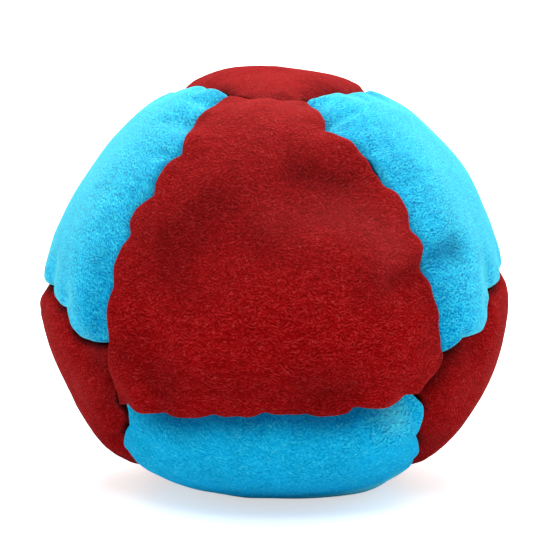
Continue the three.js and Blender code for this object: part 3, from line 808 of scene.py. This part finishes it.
CLOTH_STEPS, CLOTH_FRAMES, CLOTH_MM = 40, 24, 10
CLOTH_PRESSURE, CLOTH_SLACK, CLOTH_BENDING = 0.5, 0.03, 0.3
EVEN_ROUNDS = 120


def settle(name, edges):
    """Lets a panel's face settle as slack cloth that is sewn at its edge and pushed out by the
    sand. The cloth has ten millimetres to the unit, a hundred times life size. Gives the
    directions of its points, and how far each came out over the even swell around it."""
    mesh, flat = take_mesh(name, flat_cut(CLOTH_STEPS))
    laid = Laid(flat, edges)
    radius = even_radius(laid.directions) - pulled_in(laid.directions, edges, [])
    start = laid.directions * radius[:, None] / CLOTH_MM
    mesh.vertices.foreach_set("co", start.ravel())
    cloth_piece = bpy.data.objects.new(name, mesh)
    bpy.context.scene.collection.objects.link(cloth_piece)
    sewn = cloth_piece.vertex_groups.new(name="sewn")
    sewn.add(np.nonzero(laid.on_rim)[0].tolist(), 1, "REPLACE")
    cloth = cloth_piece.modifiers.new("cloth", "CLOTH").settings
    cloth.vertex_group_mass = "sewn"
    cloth.use_pressure = True
    cloth.uniform_pressure_force = CLOTH_PRESSURE
    cloth.shrink_min = -CLOTH_SLACK
    cloth.bending_stiffness = CLOTH_BENDING
    cloth.effector_weights.gravity = 0
    for moment in range(1, CLOTH_FRAMES + 1):
        bpy.context.scene.frame_set(moment)
    settled = cloth_piece.evaluated_get(bpy.context.evaluated_depsgraph_get()).data
    now = np.zeros(len(flat) * 3)
    settled.vertices.foreach_get("co", now)
    rise = ((now.reshape(-1, 3) - start) * laid.directions).sum(1) * CLOTH_MM
    ends = np.zeros(len(mesh.edges) * 2, dtype=np.int32)
    mesh.edges.foreach_get("vertices", ends)
    near, far = ends[::2], ends[1::2]
    swell = rise.copy()
    count = np.bincount(ends, minlength=len(flat))
    for _ in range(EVEN_ROUNDS):
        total = np.bincount(near, swell[far], len(flat)) + np.bincount(far, swell[near], len(flat))
        swell = np.where(laid.on_rim, rise, total / count)
    bpy.data.objects.remove(cloth_piece)
    bpy.data.meshes.remove(mesh)
    bpy.context.scene.frame_set(1)
    return laid.directions, rise - swell


CLOTH_NEIGHBOURS, CLOTH_GRAIN = 9, 0.9


def folds_at(directions, cloth_ways, folds):
    """Reads the settled cloth's folds at other directions, from the points of it around each."""
    tree = KDTree(len(cloth_ways))
    for i, way in enumerate(cloth_ways):
        tree.insert(way, i)
    tree.balance()
    wanted, shared = np.unique(np.round(directions, 5), axis=0, return_inverse=True)
    found = np.zeros(len(wanted))
    for i, way in enumerate(wanted):
        near = tree.find_n(way, CLOTH_NEIGHBOURS)
        places = np.array([n[1] for n in near])
        weights = np.exp(-((np.array([n[2] for n in near]) * MEAN_RADIUS / CLOTH_GRAIN) ** 2))
        found[i] = weights @ folds[places] / weights.sum()
    return found[shared.ravel()]


# The fineness of a cut, the deepest fold kept, and in millimetres how the allowance hangs.
STEPS = 75
MOST_FOLD = 0.4
SEWN_GAP = 0.08
FOLD_DROP, ALLOWANCE_START, ALLOWANCE_STEP, ALLOWANCE_END = 1.6, 0.3, 1.1, 2.5
LINING_TURN = 0.6
# How much painted shade a pit gets, how soon a lap's painted shadow grows from its ends, and
# over how many degrees of its turn a fold's painted shade grows.
PIT_PAINTED_SHADE, END_GROWTH, PAINTED_SHADE_OVER = 0.15, 5, 40


def sew_panel(name, loop, laps):
    """Cuts a panel flat, turns its edge down, and lays it on the bag."""
    edges = [Edge(a, b, lap) for a, b, lap in zip(loop, loop[1:] + loop[:1], laps)]
    cut = flat_cut(STEPS)
    turn_down(cut)
    mesh, flat = take_mesh(f"suede_{name}", cut)
    row = np.round(-flat[:, 2]).astype(int)
    laid = Laid(flat, edges)
    is_lining = row >= 2 * ROWS - LINING_ROWS
    pits = PITS.get(name, [])
    depth = pulled_in(laid.directions, edges, pits) + np.where(is_lining, SUEDE_THICKNESS, 0)
    cloth_ways, folds = settle(name, edges)
    depth -= MOST_FOLD * np.tanh(folds_at(laid.directions, cloth_ways, folds) / MOST_FOLD)
    points = bag_point(laid.directions, depth)

    # Turn the edge down: over the fold, down the allowance, and back up the lining side.
    turn = np.radians(laid.turned) * np.clip(row / FOLD_STEPS, 0, 1)
    out, deep = laid.radius * np.sin(turn), laid.radius * (1 - np.cos(turn))
    sewn = np.clip(row - FOLD_STEPS, 0, SEWN_ROWS)
    out = np.where(sewn > 0, laid.inset - SEWN_GAP, out)
    below_fold = laid.radius * FOLD_DROP
    deep = np.where(sewn > 0, below_fold + (sewn - 1) * ALLOWANCE_STEP + ALLOWANCE_START, deep)
    inner = 2 * ROWS - row
    lined = is_lining & (inner > 0)
    out = np.where(lined, laid.inset - SEWN_GAP - SUEDE_THICKNESS, out)
    lining_end = below_fold + ALLOWANCE_END - SUEDE_THICKNESS
    deep = np.where(lined, np.where(inner == 1, LINING_TURN, lining_end), deep)
    turned_down = (row > 0) & (inner > 0)
    shift = laid.inward * -out[:, None] - laid.directions * deep[:, None]
    points += np.where(turned_down[:, None], shift, 0)
    points[:, 2] = np.maximum(points[:, 2], 0)
    mesh.vertices.foreach_set("co", (points * MM).ravel())

    # Give the suede its places on the flat cut, in millimetres, for the nap.
    up = unit(np.array([0, 0, 1.0]) - laid.centre * laid.centre[2])
    spread = np.stack([laid.directions @ np.cross(up, laid.centre), laid.directions @ up], 1)
    spread /= np.maximum(np.linalg.norm(spread, axis=1, keepdims=True), 1e-9)
    away = np.arccos(np.clip(laid.directions @ laid.centre, -1, 1)) * MEAN_RADIUS
    place = spread * (away + np.where(turned_down, out + deep, 0))[:, None]
    corner_verts = np.zeros(len(mesh.loops), dtype=np.int32)
    mesh.loops.foreach_get("vertex_index", corner_verts)
    mesh.uv_layers.new(name="cut").data.foreach_set("uv", place[corner_verts].ravel())

    # Paint light and wear, painted shade and painted shadow onto the nap, and painted shade inside the folds.
    painted_light_and_wear = PAINTED_TOP_LIGHT * laid.directions[:, 2] + hollowed(laid.directions, PAINTED_LIGHT_PATCHES)
    pressed = hollowed(laid.directions, PAINTED_SHADE_PATCHES)
    pressed += PIT_PAINTED_SHADE * hollowed(laid.directions, pits)
    # Painted shadow of the fold that laps over each edge, fading towards its ends.
    for edge in edges:
        along, away = from_edge(edge, laid.directions)
        to_end = np.maximum(np.minimum(along, edge.seam.length - along), 0) / edge.seam.length
        under = edge.lap.pressed * np.clip(edge.lap.at_ends + END_GROWTH * to_end, 0, 1)
        pressed = np.maximum(pressed, under * np.exp(-((away / edge.lap.pressed_reach) ** 2)))
    # Painted shade grows over the turn of a fold and fills the sewn allowance.
    fold_shade = np.clip((np.degrees(turn) - laid.painted_shade_from) / PAINTED_SHADE_OVER, 0, 1)
    edge_shade = np.where(sewn > 0, 1, fold_shade)
    painted_crease_shade = np.where(turned_down, np.where(is_lining, 1, edge_shade), 0)
    for attribute, values in (("painted_light_and_wear", painted_light_and_wear), ("pressed", pressed), ("painted_crease_shade", painted_crease_shade)):
        mesh.attributes.new(attribute, "FLOAT", "POINT").data.foreach_set("value", values)
    mesh.shade_smooth()
    mesh.update()
    panel = bpy.data.objects.new(mesh.name, mesh)
    bpy.context.scene.collection.objects.link(panel)
    return panel


# Red panels: four of suede with six sides, a long side to each blue panel and a short side
# to each other red one. The front one laps over all that it meets; the others are lapped by
# the blue ones.
# Red suede. The pale colour is painted light, the deep colour painted shade, and the edge-on colour with its
# glow a painted sheen.
red_suede = suede("red_suede", dark=(0.155, 0.0004, 0.0006), middle=(0.31, 0.0012, 0.0018),
    light=(0.47, 0.018, 0.02), fibre=(0.55, 0.05, 0.05), pale=(0.52, 0.045, 0.045),
    deep=(0.08, 0.05, 0.05), painted_sheen=(0.42, 0.018, 0.018), glow=0.35,
    tuft_size=(0.4, 0.23), lie=0.1, rubbed=0.8, relief=0.65)
RED_PANELS = {
    "red_front": (
        ["V1L", "V2u", "V2d", "V3d", "V3u", "V1R"],
        [PROUD, PROUD, LIP, PROUD, PROUD, PROUD],
        0.0018,
    ),
    "red_top": (
        ["V1L", "V1R", "N2f", "N2b", "N3b", "N3f"],
        [LEVEL, UNDER, OVER, UNDER, UNDER, UNDER],
        0.0014,
    ),
    "red_lower_left": (
        ["V2d", "V2u", "N3f", "N3b", "N1b", "N1f"],
        [TUCKED, UNDER, OVER, UNDER, OVER, UNDER],
        0.0018,
    ),
    "red_lower_right": (
        ["V3u", "V3d", "N1f", "N1b", "N2b", "N2f"],
        [DEEP, UNDER, UNDER, UNDER, UNDER, UNDER],
        0.0018,
    ),
}
for name, (loop, laps, flat_area) in RED_PANELS.items():
    panel = sew_panel(name, loop, laps)
    panel.data.materials.append(red_suede)
    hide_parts(f"panel_{name}")
    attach(panel, "root")

# Blue panels: four of suede with three sides. They lap over the red ones beside and behind
# them, and the front red one laps over three of them.
# Blue suede. The pale colour is painted light, the deep colour painted shade, and the edge-on colour with its
# glow a painted sheen.
blue_suede = suede("blue_suede", dark=(0.0004, 0.2, 0.57), middle=(0.002, 0.52, 0.93),
    light=(0.06, 0.8, 1), fibre=(0.12, 0.85, 1), pale=(0.12, 0.8, 1),
    deep=(0.15, 0.3, 0.42), painted_sheen=(0.15, 0.82, 0.97), glow=0.7,
    tuft_size=(0.38, 0.25), lie=0.5, rubbed=0.55, relief=0.5)
BLUE_PANELS = {
    "blue_left": (["V2u", "V1L", "N3f"], [BESIDE, OVER, OVER], 0.0012),
    "blue_right": (["V1R", "V3u", "N2f"], [BESIDE, OVER, OVER], 0.0012),
    "blue_bottom": (["V3d", "V2d", "N1f"], [BELOW, OVER, OVER], 0.0015),
    "blue_back": (["N3b", "N2b", "N1b"], [OVER, OVER, OVER], 0.0008),
}
for name, (loop, laps, flat_area) in BLUE_PANELS.items():
    panel = sew_panel(name, loop, laps)
    panel.data.materials.append(blue_suede)
    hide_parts(f"panel_{name}")
    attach(panel, "root")

# Floor: a plain white matt surface. It glows for the camera alone, so that it shows white and
# still keeps the bag's soft shadow.
FLOOR_GLOW = 0.6
floor_shape = bmesh.new()
bmesh.ops.create_circle(floor_shape, cap_ends=True, segments=64, radius=6)
floor_mesh = bpy.data.meshes.new("floor")
floor_shape.to_mesh(floor_mesh)
floor_shape.free()
floor = bpy.data.objects.new("floor", floor_mesh)
bpy.context.scene.collection.objects.link(floor)
floor_finish = bpy.data.materials.new("white_floor")
floor_finish.use_nodes = True
nodes, links = floor_finish.node_tree.nodes, floor_finish.node_tree.links
nodes.remove(nodes["Principled BSDF"])
matt = nodes.new("ShaderNodeBsdfDiffuse")
matt.inputs["Color"].default_value = (0.95, 0.95, 0.95, 1)
glow = nodes.new("ShaderNodeEmission")
path = nodes.new("ShaderNodeLightPath")
seen = nodes.new("ShaderNodeMath")
seen.operation = "MULTIPLY"
seen.inputs[1].default_value = FLOOR_GLOW
both = nodes.new("ShaderNodeAddShader")
links.new(path.outputs["Is Camera Ray"], seen.inputs[0])
links.new(seen.outputs[0], glow.inputs["Strength"])
links.new(matt.outputs[0], both.inputs[0])
links.new(glow.outputs[0], both.inputs[1])
links.new(both.outputs[0], nodes["Material Output"].inputs["Surface"])
floor.data.materials.append(floor_finish)

# Light: seven soft round lamps, two overhead, two from the upper sides and three low ones, in a
# dim room whose walls show white to the camera and in reflections.
LAMP_SIZE, ROOM_LIGHT = 0.4, 0.1
LAMPS_AIM = Vector((0, 0, 0.024))


def soft_lamp(name, place, power):
    lamp_data = bpy.data.lights.new(name, "AREA")
    lamp_data.shape = "DISK"
    lamp_data.size = LAMP_SIZE
    lamp_data.energy = power
    lamp = bpy.data.objects.new(name, lamp_data)
    lamp.location = place
    lamp.rotation_euler = (LAMPS_AIM - Vector(place)).to_track_quat("-Z", "Y").to_euler()
    bpy.context.scene.collection.objects.link(lamp)


soft_lamp("back_overhead_lamp", (0, 0.35, 0.5), 2.6)
soft_lamp("front_overhead_lamp", (0, -0.3, 0.55), 1.9)
soft_lamp("left_lamp", (-0.46, 0.22, 0.45), 1.3)
soft_lamp("right_lamp", (0.46, 0.22, 0.45), 1.5)
soft_lamp("low_left_lamp", (-0.6, 0.1, 0.15), 0.3)
soft_lamp("low_right_lamp", (0.6, 0.1, 0.15), 0.5)
soft_lamp("low_front_lamp", (0, -0.6, 0.1), 0.4)
room = bpy.data.worlds.new("pale_room")
bpy.context.scene.world = room
room.use_nodes = True
nodes, links = room.node_tree.nodes, room.node_tree.links
path = nodes.new("ShaderNodeLightPath")
shown = nodes.new("ShaderNodeMath")
shown.operation = "MAXIMUM"
links.new(path.outputs["Is Camera Ray"], shown.inputs[0])
clear = nodes.new("ShaderNodeMath")
clear.operation = "MAXIMUM"
links.new(path.outputs["Is Glossy Ray"], clear.inputs[0])
links.new(path.outputs["Is Transmission Ray"], clear.inputs[1])
links.new(clear.outputs[0], shown.inputs[1])
strength = nodes.new("ShaderNodeMapRange")
strength.inputs["To Min"].default_value = ROOM_LIGHT
strength.inputs["To Max"].default_value = 1
links.new(shown.outputs[0], strength.inputs["Value"])
nodes["Background"].inputs["Color"].default_value = (1, 1, 1, 1)
links.new(strength.outputs[0], nodes["Background"].inputs["Strength"])

# Camera: from in front and twelve degrees above, straight on to the front panel, with a long
# lens. It aims a little over the bag's middle. All in millimetres.
VIEW_DISTANCE, AIM_RISE, LENS = 480, 0.76, 267.3
camera_data = bpy.data.cameras.new("camera")
camera_data.sensor_width = 36
camera_data.lens = LENS
camera = bpy.data.objects.new("camera", camera_data)
bpy.context.scene.collection.objects.link(camera)
aim = Vector((0, 0, MIDDLE_HEIGHT + AIM_RISE))
camera.location = (aim + Vector((0, -np.cos(LEAN), np.sin(LEAN))) * VIEW_DISTANCE) * MM
camera.rotation_euler = (np.pi / 2 - LEAN, 0, 0)
camera_data.clip_start = 0.01
bpy.context.scene.camera = camera
bpy.context.scene.view_settings.view_transform = "Standard"
